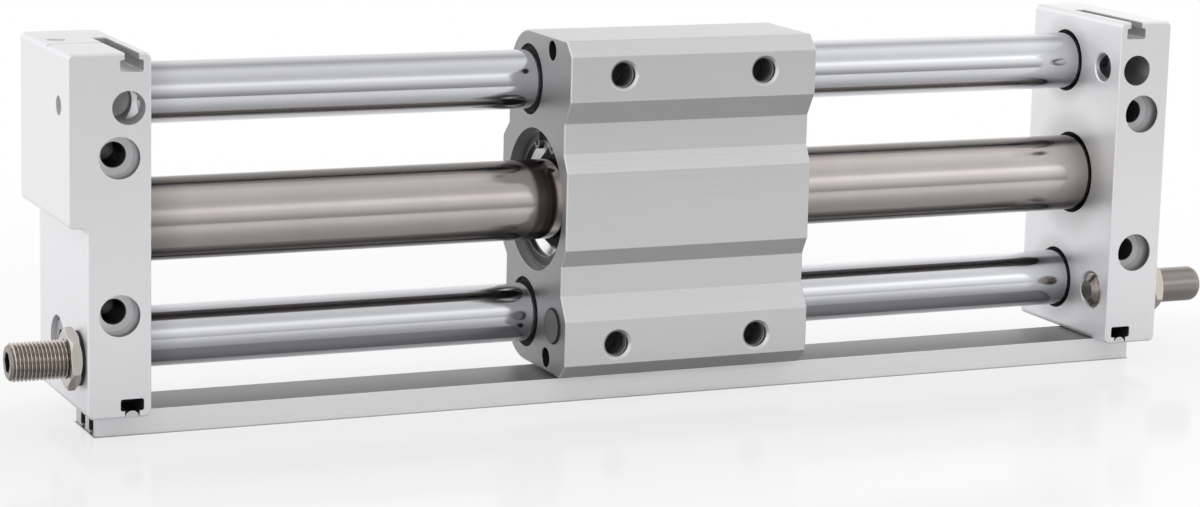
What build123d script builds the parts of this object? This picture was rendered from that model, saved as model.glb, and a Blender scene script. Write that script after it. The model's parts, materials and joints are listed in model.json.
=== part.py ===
from build123d import *
import math
import os

# A magnetically coupled rodless air cylinder with a guided slide block.
# Millimetres. X runs along the cylinder tube, +Z is up, and -Y is the side that the slide block's
# mounting face looks to. The origin is on the floor under the middle of the tube, and the switch
# rail is the foot that the cylinder stands on.

# Cylinder tube and guide shafts
bore_dia = 20.0
tube_wall = 0.8
tube_insert = 12.0
guide_dia = 16.0
guide_span = 64.0
guide_set_back = 5.5
guide_insert = 6.0
hollow_guide_insert = 10.0
guide_air_dia = 5.0

# End plates
plate_gap = 282.0
plate_thick = 16.5
plate_over_slide = 0.95
plate_depth = 46.6
plate_corner = 1.5
plate_edge_round = 0.5
port_block_extra = 4.8
port_block_foot = 2.6
step_round = 1.7
ring_groove_depth = 2.2
ring_groove_wall = 0.9
ring_recess = 0.6
end_chamber_dia = 17.0
end_chamber_depth = 1.5

# Base screw holes, which run from the front face of each end plate to its back face
base_hole_dia = 6.6
base_counterbore_dia = 10.7
base_counterbore_depth = 6.0
base_hole_inset = 8.2
base_hole_span = 40.0

# Holes for a shock absorber in the inner face and for its clamp screw in the front face
clamp_hole_dia = 8.6
clamp_hole_depth = 15.0
clamp_hole_inset = 5.8
clamp_hole_height = 32.5
drill_tip_angle = 118.0
pilot_dia = 2.5
pilot_depth = 19.0
absorber_hole_dia = 8.0
absorber_hole_mouth = 0.3

# Air ports and passages
air_port_dia = 5.0
air_port_depth = 8.0
back_port_height = 15.3
shaft_passage_dia = 3.0
shaft_passage_inset = 4.7
tube_passage_dia = 2.0
tube_passage_inset = 13.4
tube_passage_y = -5.0
tube_ball_dia = 3.0
ball_dia = 5.0
ball_recess = 0.5
top_groove_width = 0.9
top_groove_depth = 0.8
top_groove_y = -2.4

# T-slots in the end faces of the plates
slot_mouth = 3.8
slot_mouth_depth = 1.7
slot_width = 6.1
slot_depth = 4.8
slot_inset = 5.0
slot_length = 31.0
slot_corner = 0.6

# Slide block
slide_length = 72.0
slide_offset = 8.5
guide_bush_wall = 1.65
guide_boss_wall = 3.65
centre_bore_dia = 38.8
slide_front = 23.1
slide_back = 22.8
recess_front = 19.4
middle_front = 22.0
band_top_inset = 3.8
band_low = 29.4
recess_high = 23.2
recess_low = 15.1
middle_half = 10.4
front_chamfer = 3.5
shoulder_z = 18.5
bulge_z = 14.5
slide_edge_chamfer = 0.3
load_hole_dia = 6.8
load_hole_depth = 10.0
load_hole_mouth = 8.2
load_hole_pitch_x = 41.4
load_hole_pitch_z = 72.5
side_hole_dia = 5.5
side_hole_y = -10.0
side_hole_inset = 3.7

# Bushes, scrapers and stops of the slide block
bush_length = 22.0
scraper_thick = 2.4
scraper_recess = 0.7
backing_ring_thick = 1.0
backing_ring_gap = 0.8
stop_pad_dia = 9.8
stop_pad_thick = 4.0
stop_pad_stand = 0.5

# Magnet assembly round the tube
retainer_thick = 1.6
retainer_recess = 2.6
retainer_width = 3.8
retainer_gap = 7.0
lug_size = 3.2
lug_overlap = 1.1
lug_hole_dia = 1.4
holder_length = 7.0
holder_mouth_dia = 30.6
holder_cone_depth = 3.0
holder_hole_dia = 25.2
tube_scraper_start = 0.8
tube_scraper_length = 3.0
yoke_thick = 4.2
yoke_count = 5
magnet_sleeve_wall = 1.6
outer_magnet_gap = 0.4

# Piston inside the tube
shaft_dia = 8.0
inner_magnet_gap = 0.5
piston_length = 13.0
piston_gap = 0.25
piston_seal_start = 5.4
piston_seal_width = 3.0
piston_seal_depth = 2.4
piston_band_start = 1.0
piston_band_width = 3.6
piston_band_depth = 1.2
nut_length = 4.0
nut_flats = 13.0
nut_recess = 0.3
nut_pocket_gap = 0.2
piston_bumper_length = 1.6
piston_bumper_wall = 1.2
piston_bumper_inset = 0.4
piston_shaft_recess = 0.5

# Stroke adjusting bolts and their lock nuts
bolt_dia = 10.0
thread_pitch = 1.0
thread_depth = 0.6
thread_root_share = 0.2
thread_crest_share = 0.1
bolt_front = 14.5
bolt_stand = 1.5
bolt_mouth_chamfer = 0.45
bolt_nose_dia = 5.6
bolt_nose_length = 1.9
left_bolt_reach = 18.3
right_bolt_reach = 18.6
dome_round = 2.6
bolt_socket_flats = 5.0
bolt_socket_depth = 5.0
bolt_end_chamfer = 1.0
bolt_end_step = 0.3
lock_nut_flats = 14.0
lock_nut_thick = 2.8
lock_nut_turn = 19.0
washer_thick = 0.8
washer_dia = 14.0

# Screws that hold the lower guide shaft
shaft_screw_dia = 8.0
shaft_screw_length = 16.0
shaft_screw_head_dia = 13.0
shaft_screw_head_length = 8.0
shaft_screw_head_recess = 1.0
shaft_screw_head_chamfer = 0.6
shaft_screw_socket_flats = 6.0
shaft_screw_socket_depth = 4.0
screw_hole_dia = 8.4
screw_counterbore_dia = 14.0
tapped_extra = 1.0

# Set screws from the back face that hold the hollow guide shaft
set_screw_dia = 5.0
set_screw_flats = 2.5
set_screw_length = 6.0
set_screw_inset = 5.0
set_screw_socket_depth = 2.0

# Switch rail
rail_end_inset = 4.0
rail_width = 18.2
rail_height = 6.5
rail_front = 15.6
groove_width = 4.0
groove_depth = 3.9
groove_mouth = 2.8
groove_lip = 0.9
groove_front_wall = 1.9
groove_pitch = 7.6
rail_screw_dia = 3.0
rail_head_dia = 5.5
rail_head_length = 3.0
rail_head_recess = 0.6
rail_counterbore_dia = 6.2
rail_socket_flats = 2.5
rail_socket_depth = 1.5
rail_screw_y = -8.0
t_nut_length = 12.0
t_nut_play = 0.15
t_nut_front_recess = 0.2

# Magnets that the switches on the rail sense
switch_magnet_dia = 5.4
switch_magnet_length = 9.0

# Fits, all radial
running_fit = 0.03
seal_fit = 0.05
close_fit = 0.05

# How far a cut runs past the face that it opens
cut_extra = 1.0

# Places worked out from the sizes
half_gap = plate_gap / 2
guide_bore_dia = guide_dia + 2 * guide_bush_wall
slide_height = guide_span + guide_bore_dia + 2 * guide_boss_wall
band_top = slide_height / 2 - band_top_inset
side_hole_z = slide_height / 2 - side_hole_inset
plate_height = slide_height + 2 * plate_over_slide
rail_length = plate_gap + 2 * (plate_thick - rail_end_inset)
axis_z = rail_height + plate_height / 2
plate_top = rail_height + plate_height
tube_dia = bore_dia + 2 * tube_wall
tube_end = half_gap + tube_insert
slide_low_x = slide_offset - slide_length / 2
slide_high_x = slide_offset + slide_length / 2
guide_zs = {"upper": axis_z + guide_span / 2, "lower": axis_z - guide_span / 2}
bolt_z = guide_zs["lower"]
clamp_hole_z = axis_z + clamp_hole_height
clamp_hole_x = half_gap + clamp_hole_inset
back_port_z = axis_z + back_port_height
slot_x = half_gap + slot_inset
base_hole_x = half_gap + base_hole_inset
outer_face = half_gap + plate_thick
retainer_inner_dia = centre_bore_dia - 2 * retainer_width
block_face = outer_face + port_block_extra
shaft_passage_x = block_face - shaft_passage_inset
tube_passage_x = half_gap + tube_passage_inset
set_screw_x = half_gap + set_screw_inset
front_y = -plate_depth / 2
back_y = plate_depth / 2

os.makedirs("parts", exist_ok=True)
nodes = {}


def span_box(x_span, y_span, z_span):
    """Box between two values along each axis."""
    size = [abs(b - a) for a, b in (x_span, y_span, z_span)]
    middle = [(a + b) / 2 for a, b in (x_span, y_span, z_span)]
    return Pos(*middle) * Box(*size)


def x_rod(radius, x_from, x_to, y=0.0, z=axis_z):
    """Round bar along X."""
    return Pos((x_from + x_to) / 2, y, z) * Rot(0, 90, 0) * Cylinder(radius, abs(x_to - x_from))


def y_rod(radius, y_from, y_to, x, z):
    """Round bar along Y."""
    return Pos(x, (y_from + y_to) / 2, z) * Rot(90, 0, 0) * Cylinder(radius, abs(y_to - y_from))


def z_rod(radius, z_from, z_to, x, y):
    """Round bar along Z."""
    return Pos(x, y, (z_from + z_to) / 2) * Cylinder(radius, abs(z_to - z_from))


def x_ring(outer, inner, x_from, x_to, y=0.0, z=axis_z):
    """Round ring along X with the given outer and inner radius."""
    return x_rod(outer, x_from, x_to, y, z) - x_rod(inner, x_from, x_to, y, z)


def x_hexagon(flats, x_from, x_to, y, z, turn=0.0):
    """Hexagonal bar along X, flats across, with a corner towards -Y before it is turned."""
    face = RegularPolygon(flats / 2, 6, major_radius=False, rotation=turn)
    bar = extrude(Plane.YZ.offset(min(x_from, x_to)) * Pos(y, z) * face, abs(x_to - x_from))
    return bar


def turned(profile, y=0.0, z=axis_z):
    """Body of revolution about an axis along X, from (x, radius) points."""
    face = make_face(Polyline(*profile, close=True))
    return Pos(0, y, z) * revolve(face, Axis.X)


def mouth_cone(side, radius, width, y, z):
    """Cut that chamfers the mouth of a hole in the inner face of a plate."""
    face = side * half_gap
    inside = side * (half_gap + width)
    return turned([(face, 0), (face, radius + width), (inside, radius), (inside, 0)], y, z)


def keep(name, *solids):
    """Stores a node as one solid, or as a group of separate ones."""
    pieces = [solid for shape in solids for solid in shape.solids()]
    nodes[name] = pieces[0] if len(pieces) == 1 else Compound(children=pieces)


def plate_outline(side):
    """Front view of an end plate; the ported one is thicker above its step."""
    inner = half_gap
    outer = outer_face
    foot = rail_height
    if side > 0:
        corners = [(inner, foot), (outer, foot), (outer, plate_top), (inner, plate_top)]
        return fillet(make_face(Polyline(*corners, close=True)).vertices(), plate_corner)
    step = axis_z + port_block_foot
    corners = [
        (-inner, foot),
        (-outer, foot),
        (-outer, step),
        (-block_face, step),
        (-block_face, plate_top),
        (-inner, plate_top),
    ]
    face = make_face(Polyline(*corners, close=True))
    inside_corner = face.vertices().sort_by_distance((-outer, step, 0))[0]
    face = fillet(inside_corner, step_round)
    others = [v for v in face.vertices() if abs(Vector(v) - Vector(-outer, step)) > 2 * step_round]
    return fillet(others, plate_corner)


def t_slot(x, z_face, inward):
    """T-slot cut from the front face of a plate, open at its top or bottom."""
    y_end = front_y + slot_length
    mouth = (z_face, z_face + inward * slot_mouth_depth)
    wide = (z_face + inward * slot_mouth_depth, z_face + inward * slot_depth)
    neck = span_box((x - slot_mouth / 2, x + slot_mouth / 2), (front_y, y_end), mouth)
    body = span_box((x - slot_width / 2, x + slot_width / 2), (front_y, y_end), wide)
    return neck + fillet(body.edges().filter_by(Axis.Y), slot_corner)


def plate_cuts(side):
    """Every hole that both end plates have."""
    inner = side * half_gap
    outer = side * (outer_face + cut_extra)
    upper = guide_zs["upper"]
    lower = guide_zs["lower"]
    guide_y = guide_set_back
    groove = side * (half_gap + ring_groove_depth)
    cuts = []
    # Tube socket with its seal groove and the air space past the end of the tube
    cuts.append(x_rod(tube_dia / 2 + close_fit, inner, side * tube_end))
    cuts.append(x_rod(tube_dia / 2 + ring_groove_wall, inner, groove))
    cuts.append(x_rod(end_chamber_dia / 2, inner, side * (tube_end + end_chamber_depth)))
    # Guide shaft sockets with their ring grooves
    cuts.append(x_rod(guide_dia / 2, inner, side * (half_gap + hollow_guide_insert), guide_y, upper))
    cuts.append(x_rod(guide_dia / 2, inner, side * (half_gap + guide_insert), guide_y, lower))
    for z in (upper, lower):
        cuts.append(x_rod(guide_dia / 2 + ring_groove_wall, inner, groove, guide_y, z))
    # Screw hole behind the lower guide shaft
    head_seat = outer_face - shaft_screw_head_recess - shaft_screw_head_length
    cuts.append(x_rod(screw_hole_dia / 2, inner, side * outer_face, guide_y, lower))
    cuts.append(x_rod(screw_counterbore_dia / 2, side * head_seat, outer, guide_y, lower))
    # Set screw hole behind the hollow guide shaft
    cuts.append(y_rod(set_screw_dia / 2, guide_y, back_y, side * set_screw_x, upper))
    # Base screw holes
    for up in (-1, 1):
        z = axis_z + up * base_hole_span / 2
        x = side * base_hole_x
        cuts.append(y_rod(base_hole_dia / 2, front_y, back_y, x, z))
        cuts.append(y_rod(base_counterbore_dia / 2, front_y, front_y + base_counterbore_depth, x, z))
    # Clamp hole with its drill point and pilot, and the absorber hole that runs into it
    hole_x = side * clamp_hole_x
    hole_end = front_y + clamp_hole_depth
    tip_depth = clamp_hole_dia / 2 / math.tan(math.radians(drill_tip_angle / 2))
    tip = Cone(clamp_hole_dia / 2, 0, tip_depth)
    cuts.append(y_rod(clamp_hole_dia / 2, front_y, hole_end, hole_x, clamp_hole_z))
    cuts.append(Pos(hole_x, hole_end + tip_depth / 2, clamp_hole_z) * Rot(-90, 0, 0) * tip)
    cuts.append(y_rod(pilot_dia / 2, front_y, front_y + pilot_depth, hole_x, clamp_hole_z))
    cuts.append(x_rod(absorber_hole_dia / 2, inner, hole_x, -bolt_front, clamp_hole_z))
    cuts.append(mouth_cone(side, absorber_hole_dia / 2, absorber_hole_mouth, -bolt_front, clamp_hole_z))
    # Air passage to the end of the tube, drilled from the bottom and closed by a ball
    top = back_port_z if side < 0 else upper
    cuts.append(z_rod(tube_passage_dia / 2, rail_height, top, side * tube_passage_x, tube_passage_y))
    seat_top = rail_height + ball_recess + tube_ball_dia
    cuts.append(z_rod(tube_ball_dia / 2, rail_height, seat_top, side * tube_passage_x, tube_passage_y))
    # Adjusting bolt hole
    cuts.append(x_rod(bolt_dia / 2 + close_fit, inner, side * outer_face, -bolt_front, bolt_z))
    cuts.append(mouth_cone(side, bolt_dia / 2 + close_fit, bolt_mouth_chamfer, -bolt_front, bolt_z))
    # T-slots in the top and the bottom
    cuts.append(t_slot(side * slot_x, plate_top, -1))
    cuts.append(t_slot(side * slot_x, rail_height, 1))
    return cuts


def ported_cuts():
    """Holes that only the ported plate has: both air ports and the way into the hollow shaft."""
    upper = guide_zs["upper"]
    shaft_end = half_gap + hollow_guide_insert
    seat = ball_dia + ball_recess
    seat_radius = ball_dia / 2
    port_radius = air_port_dia / 2
    port_end = -(block_face - air_port_depth)
    cuts = [x_rod(port_radius, port_end, -block_face, -bolt_front, clamp_hole_z)]
    back_port_end = back_y - air_port_depth
    cuts.append(y_rod(port_radius, back_port_end, back_y, -tube_passage_x, back_port_z))
    cuts.append(y_rod(tube_passage_dia / 2, tube_passage_y, back_y, -tube_passage_x, back_port_z))
    passage_radius = shaft_passage_dia / 2
    cuts.append(x_rod(guide_air_dia / 2, -shaft_end, -shaft_passage_x, guide_set_back, upper))
    cuts.append(y_rod(passage_radius, -bolt_front, back_y, -shaft_passage_x, upper))
    cuts.append(y_rod(seat_radius, back_y - seat, back_y, -shaft_passage_x, upper))
    cuts.append(z_rod(passage_radius, upper, plate_top, -shaft_passage_x, guide_set_back))
    cuts.append(z_rod(seat_radius, plate_top - seat, plate_top, -shaft_passage_x, guide_set_back))
    groove_y = (top_groove_y - top_groove_width / 2, top_groove_y + top_groove_width / 2)
    groove_x = (-block_face, -(slot_x + slot_mouth / 2))
    cuts.append(span_box(groove_x, groove_y, (plate_top - top_groove_depth, plate_top)))
    return cuts


def plain_cuts():
    """Holes that only the plain plate has: the hollow shaft's air joins the passage to the tube."""
    upper = guide_zs["upper"]
    shaft_end = half_gap + hollow_guide_insert
    seat = back_y - ball_recess - tube_ball_dia
    return [
        x_rod(tube_passage_dia / 2, shaft_end, tube_passage_x, guide_set_back, upper),
        y_rod(tube_passage_dia / 2, tube_passage_y, back_y, tube_passage_x, upper),
        y_rod(tube_ball_dia / 2, seat, back_y, tube_passage_x, upper),
    ]


def end_plate(side):
    """End plate with rounded edges and all its holes."""
    outline = plate_outline(side)
    plate = extrude(Plane.XZ * outline, plate_depth / 2, both=True)
    rims = plate.faces().sort_by(Axis.Y)
    plate = fillet(rims[0].edges() + rims[-1].edges(), plate_edge_round)
    cuts = plate_cuts(side) + (ported_cuts() if side < 0 else plain_cuts())
    for cut in cuts:
        plate -= cut
    return plate


def ring_seal(shaft_radius, x_from, x_to, y, z):
    """Round-edged seal ring in a plate's groove."""
    outer = shaft_radius + ring_groove_wall
    ring = x_ring(outer, shaft_radius, x_from, x_to, y, z)
    return fillet(ring.edges(), ring_groove_wall / 4)


def thread_profile(x_from, x_to, radius):
    """(x, radius) points of ring-shaped threads, one crest for each pitch."""
    count = int((x_to - x_from) / thread_pitch)
    start = x_from + ((x_to - x_from) - count * thread_pitch) / 2
    points = [(x_from, radius - thread_depth)]
    for turn in range(count):
        left = start + turn * thread_pitch
        points.append((left + thread_pitch * thread_root_share / 2, radius - thread_depth))
        points.append((left + thread_pitch * (1 - thread_crest_share) / 2, radius))
        points.append((left + thread_pitch * (1 + thread_crest_share) / 2, radius))
        points.append((left + thread_pitch * (1 - thread_root_share / 2), radius - thread_depth))
    points.append((x_to, radius - thread_depth))
    return points


# End plates
keep("end_plate_ported", end_plate(-1))
keep("end_plate_plain", end_plate(1))

# Cylinder tube and guide shafts
keep("cylinder_tube", x_ring(tube_dia / 2, bore_dia / 2, -tube_end, tube_end))
upper_end = half_gap + hollow_guide_insert
lower_end = half_gap + guide_insert
keep(
    "guide_shaft_upper",
    x_ring(guide_dia / 2, guide_air_dia / 2, -upper_end, upper_end, guide_set_back, guide_zs["upper"]),
)
lower_shaft = x_rod(guide_dia / 2, -lower_end, lower_end, guide_set_back, guide_zs["lower"])
screw_web = plate_thick - shaft_screw_head_recess - shaft_screw_head_length - guide_insert
screw_reach = shaft_screw_length - screw_web
for side in (-1, 1):
    tapped = x_rod(
        shaft_screw_dia / 2 + close_fit,
        side * lower_end,
        side * (lower_end - screw_reach - tapped_extra),
        guide_set_back,
        guide_zs["lower"],
    )
    lower_shaft -= tapped
keep("guide_shaft_lower", lower_shaft)

# Seal rings in the end plates
ring_spans = [(side * (half_gap + ring_recess), side * (half_gap + ring_groove_depth)) for side in (-1, 1)]
keep("tube_end_seals", *[ring_seal(tube_dia / 2, a, b, 0, axis_z) for a, b in ring_spans])
for level, z in guide_zs.items():
    keep(
        f"guide_{level}_end_seals",
        *[ring_seal(guide_dia / 2, a, b, guide_set_back, z) for a, b in ring_spans],
    )


def shaft_screw(side):
    """Socket head cap screw from the outer face of a plate into the lower guide shaft."""
    z = guide_zs["lower"]
    y = guide_set_back
    head_out = side * (outer_face - shaft_screw_head_recess)
    head_in = head_out - side * shaft_screw_head_length
    head = x_rod(shaft_screw_head_dia / 2, head_in, head_out, y, z)
    head = chamfer(head.edges().sort_by(Axis.X)[-1 if side > 0 else 0], shaft_screw_head_chamfer)
    socket_end = head_out - side * shaft_screw_socket_depth
    head -= x_hexagon(shaft_screw_socket_flats, socket_end, head_out, y, z)
    return head + x_rod(shaft_screw_dia / 2, head_in, head_in - side * shaft_screw_length, y, z)


keep("guide_shaft_screws", shaft_screw(-1), shaft_screw(1))


def set_screw(side):
    """Set screw that bears on the hollow guide shaft from the back of a plate."""
    x = side * set_screw_x
    z = guide_zs["upper"]
    tip = guide_set_back + guide_dia / 2
    end = tip + set_screw_length
    socket = RegularPolygon(set_screw_flats / 2, 6, major_radius=False)
    socket_plane = Plane(origin=(x, end, z), z_dir=(0, -1, 0))
    return y_rod(set_screw_dia / 2, tip, end, x, z) - extrude(socket_plane * socket, set_screw_socket_depth)


keep("guide_set_screws", set_screw(-1), set_screw(1))

# Steel balls that close the drilled passages
back_ball = Pos(-shaft_passage_x, back_y - ball_recess - ball_dia / 2, guide_zs["upper"])
top_ball = Pos(-shaft_passage_x, guide_set_back, plate_top - ball_recess - ball_dia / 2)
keep("shaft_passage_balls", back_ball * Sphere(ball_dia / 2), top_ball * Sphere(ball_dia / 2))
low_ball_z = rail_height + ball_recess + tube_ball_dia / 2
ball_spots = [Pos(side * tube_passage_x, tube_passage_y, low_ball_z) for side in (-1, 1)]
ball_spots.append(Pos(tube_passage_x, back_y - ball_recess - tube_ball_dia / 2, guide_zs["upper"]))
keep("tube_passage_balls", *[spot * Sphere(tube_ball_dia / 2) for spot in ball_spots])

# Switch rail with two grooves that open downwards
rail_back = rail_width - rail_front
rail = span_box((-rail_length / 2, rail_length / 2), (-rail_front, rail_back), (0, rail_height))
groove_ys = [-rail_front + groove_front_wall + groove_width / 2 + i * groove_pitch for i in range(2)]
for y in groove_ys:
    whole = (-rail_length / 2, rail_length / 2)
    rail -= span_box(whole, (y - groove_mouth / 2, y + groove_mouth / 2), (0, groove_lip))
    rail -= span_box(whole, (y - groove_width / 2, y + groove_width / 2), (groove_lip, groove_depth))
for side in (-1, 1):
    x = side * slot_x
    rail -= z_rod(rail_counterbore_dia / 2, 0, rail_head_recess + rail_head_length, x, rail_screw_y)
    rail -= z_rod(rail_screw_dia / 2 + close_fit, 0, rail_height, x, rail_screw_y)
keep("switch_rail", rail)


def rail_screw(side):
    """Socket head screw from under the rail into the nut in the plate's slot."""
    x = side * slot_x
    head_top = rail_head_recess + rail_head_length
    head = z_rod(rail_head_dia / 2, rail_head_recess, head_top, x, rail_screw_y)
    socket = RegularPolygon(rail_socket_flats / 2, 6, major_radius=False)
    head -= extrude(Plane.XY.offset(rail_head_recess) * Pos(x, rail_screw_y) * socket, rail_socket_depth)
    return head + z_rod(rail_screw_dia / 2, head_top, rail_height + slot_depth - t_nut_play, x, rail_screw_y)


keep("rail_screws", rail_screw(-1), rail_screw(1))


def t_nut(side):
    """Nut in a plate's lower slot; its rounded neck runs forward to the plate's front face."""
    x = side * slot_x
    lip = rail_height + slot_mouth_depth
    half_body = slot_width / 2 - t_nut_play
    half_neck = slot_mouth / 2 - t_nut_play
    y_back = rail_screw_y + t_nut_length / 2
    y_body = rail_screw_y - t_nut_length / 2
    top = rail_height + slot_depth - t_nut_play
    y_nose = front_y + t_nut_front_recess
    body = span_box((x - half_body, x + half_body), (y_body, y_back), (lip, top))
    body = fillet(body.edges().filter_by(Axis.Y), slot_corner)
    neck = y_rod(half_neck, y_nose, y_back, x, rail_height)
    nut = body + (neck & span_box((x - half_neck, x + half_neck), (y_nose, y_back), (rail_height, lip)))
    return nut - z_rod(rail_screw_dia / 2 + close_fit, rail_height, rail_height + slot_depth, x, rail_screw_y)


keep("rail_slot_nuts", t_nut(-1), t_nut(1))

# Adjusting bolts, with a tapered nose at the inner end
bolt_nose_x = half_gap - bolt_stand
bolt_thread_x = bolt_nose_x + bolt_nose_length


def adjusting_bolt_left():
    """Bolt threaded over its whole length, with a hexagon socket in its outer end."""
    outer_end = -(outer_face + left_bolt_reach)
    crest = bolt_dia / 2
    core = crest - thread_depth
    crests = thread_profile(outer_end + bolt_end_chamfer, -bolt_thread_x, crest)
    outer = [(outer_end, 0), (outer_end, core - bolt_end_step)]
    nose = [(-bolt_nose_x, bolt_nose_dia / 2), (-bolt_nose_x, 0)]
    bolt = turned(outer + crests + nose, -bolt_front, bolt_z)
    return bolt - x_hexagon(bolt_socket_flats, outer_end, outer_end + bolt_socket_depth, -bolt_front, bolt_z)


def adjusting_bolt_right():
    """Bolt that is threaded inside the plate and smooth, with a domed end, outside it."""
    outer_end = outer_face + right_bolt_reach
    thread_end = outer_face + washer_thick + lock_nut_thick
    crest = bolt_dia / 2
    nose = [(bolt_nose_x, 0), (bolt_nose_x, bolt_nose_dia / 2)]
    crests = thread_profile(bolt_thread_x, thread_end, crest)
    outer = [(thread_end, crest), (outer_end, crest), (outer_end, 0)]
    bolt = turned(nose + crests + outer, -bolt_front, bolt_z)
    return fillet(bolt.edges().sort_by(Axis.X)[-1], dome_round)


keep("adjusting_bolt_left", adjusting_bolt_left())
keep("adjusting_bolt_right", adjusting_bolt_right())


def lock_nut(side):
    """Thin hexagon nut with its outer corners turned off."""
    inner = side * (outer_face + washer_thick)
    outer = inner + side * lock_nut_thick
    nut = x_hexagon(lock_nut_flats, inner, outer, -bolt_front, bolt_z, lock_nut_turn)
    crown = lock_nut_flats / math.sqrt(3)
    lean = (crown - lock_nut_flats / 2) / math.sqrt(3)
    low, high = sorted((inner, outer))
    cone = [
        (low, 0),
        (low, lock_nut_flats / 2),
        (low + lean, crown),
        (high - lean, crown),
        (high, lock_nut_flats / 2),
        (high, 0),
    ]
    nut = nut & turned(cone, -bolt_front, bolt_z)
    return nut - x_rod(bolt_dia / 2 + close_fit, inner, outer, -bolt_front, bolt_z)


for side, name in ((-1, "left"), (1, "right")):
    keep(f"lock_nut_{name}", lock_nut(side))
    washer_in = side * outer_face
    washer_out = side * (outer_face + washer_thick)
    washer = x_ring(washer_dia / 2, bolt_dia / 2 + close_fit, washer_in, washer_out, -bolt_front, bolt_z)
    keep(f"lock_washer_{name}", washer)


def slide_outline():
    """Cross-section of the slide block in Y and Z, measured from the tube axis."""
    round_radius = guide_bore_dia / 2 + guide_boss_wall
    guide_z = guide_span / 2
    top = guide_z + round_radius
    shoulder_y = guide_set_back + round_radius
    edges = []
    for up in (1, -1):
        front = [
            (-middle_front, 0),
            (-middle_front, up * middle_half),
            (-recess_front, up * recess_low),
            (-recess_front, up * recess_high),
            (-slide_front, up * band_low),
            (-slide_front, up * band_top),
            (-slide_front + front_chamfer, up * top),
            (guide_set_back, up * top),
        ]
        corner = round_radius * math.sqrt(0.5)
        middle = (guide_set_back + corner, up * (guide_z + corner))
        back = [
            (shoulder_y, up * guide_z),
            (shoulder_y, up * shoulder_z),
            (slide_back, up * bulge_z),
            (slide_back, 0),
        ]
        edges.append(Polyline(*front))
        edges.append(ThreePointArc(front[-1], middle, back[0]))
        edges.append(Polyline(*back))
    return make_face([edge for curve in edges for edge in curve.edges()])


def slide_block():
    """Extruded block with the bores for the magnets and guides, and its screw holes."""
    face = Plane.YZ.offset(slide_low_x) * Pos(0, axis_z) * slide_outline()
    block = extrude(face, slide_length)
    ends = block.faces().filter_by(Axis.X)
    block = chamfer(ends[0].edges() + ends[-1].edges(), slide_edge_chamfer)
    block -= x_rod(centre_bore_dia / 2, slide_low_x, slide_high_x)
    for z in guide_zs.values():
        block -= x_rod(guide_bore_dia / 2, slide_low_x, slide_high_x, guide_set_back, z)
    for side_x in (-1, 1):
        for side_z in (-1, 1):
            x = slide_offset + side_x * load_hole_pitch_x / 2
            z = axis_z + side_z * load_hole_pitch_z / 2
            block -= y_rod(load_hole_dia / 2, -slide_front, -slide_front + load_hole_depth, x, z)
            lead = (load_hole_mouth - load_hole_dia) / 2
            cone = Cone(load_hole_mouth / 2, load_hole_dia / 2, lead)
            block -= Pos(x, -slide_front + lead / 2, z) * Rot(-90, 0, 0) * cone
    for side_z in (-1, 1):
        z = axis_z + side_z * side_hole_z
        block -= x_rod(side_hole_dia / 2, slide_low_x, slide_high_x, side_hole_y, z)
    pad_depth = stop_pad_thick - stop_pad_stand
    block -= x_rod(stop_pad_dia / 2, slide_low_x, slide_low_x + pad_depth, -bolt_front, bolt_z)
    block -= x_rod(stop_pad_dia / 2, slide_high_x, slide_high_x - pad_depth, -bolt_front, bolt_z)
    return block


keep("slide_block", slide_block())

# Both ends of the slide block, each with its inward direction
slide_ends = {"left": (slide_low_x, 1), "right": (slide_high_x, -1)}

for name, (x_face, inward) in slide_ends.items():
    pad = x_rod(
        stop_pad_dia / 2,
        x_face - inward * stop_pad_stand,
        x_face + inward * (stop_pad_thick - stop_pad_stand),
        -bolt_front,
        bolt_z,
    )
    rim = pad.edges().sort_by(Axis.X)[0 if inward > 0 else -1]
    keep(f"stop_pad_{name}", chamfer(rim, stop_pad_stand / 2))

# Guide bushes, with a scraper and a backing ring in front of each
for level, z in guide_zs.items():
    bushes = []
    scrapers = []
    rings = []
    for x_face, inward in slide_ends.values():
        a = x_face + inward * scraper_recess
        b = a + inward * scraper_thick
        c = b + inward * backing_ring_thick
        d = c + inward * bush_length
        outer = guide_bore_dia / 2
        scrapers.append(x_ring(outer, guide_dia / 2 + seal_fit, a, b, guide_set_back, z))
        ring_inner = guide_dia / 2 + backing_ring_gap
        rings.append(x_ring(outer, ring_inner, b, c, guide_set_back, z))
        bushes.append(x_ring(outer, guide_dia / 2 + running_fit, c, d, guide_set_back, z))
    keep(f"guide_bushes_{level}", *bushes)
    keep(f"guide_scrapers_{level}", *scrapers)
    keep(f"scraper_backing_rings_{level}", *rings)


def retainer(x_face, inward):
    """Internal retaining ring with a gap and two lugs with plier holes."""
    a = x_face + inward * retainer_recess
    b = a + inward * retainer_thick
    ring = x_ring(centre_bore_dia / 2, retainer_inner_dia / 2, a, b)
    spread = retainer_gap / 2
    slit = span_box((a, b), (-spread, spread), (axis_z, axis_z + centre_bore_dia))
    ring -= slit
    lug_z = axis_z + retainer_inner_dia / 2 - lug_overlap
    for side in (-1, 1):
        y = side * (spread + lug_size / 2)
        ring += x_rod(lug_size / 2, a, b, y, lug_z)
    for side in (-1, 1):
        y = side * (spread + lug_size / 2)
        ring -= x_rod(lug_hole_dia / 2, a, b, y, lug_z)
    return ring


keep("magnet_retaining_rings", *[retainer(x, inward) for x, inward in slide_ends.values()])


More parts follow.
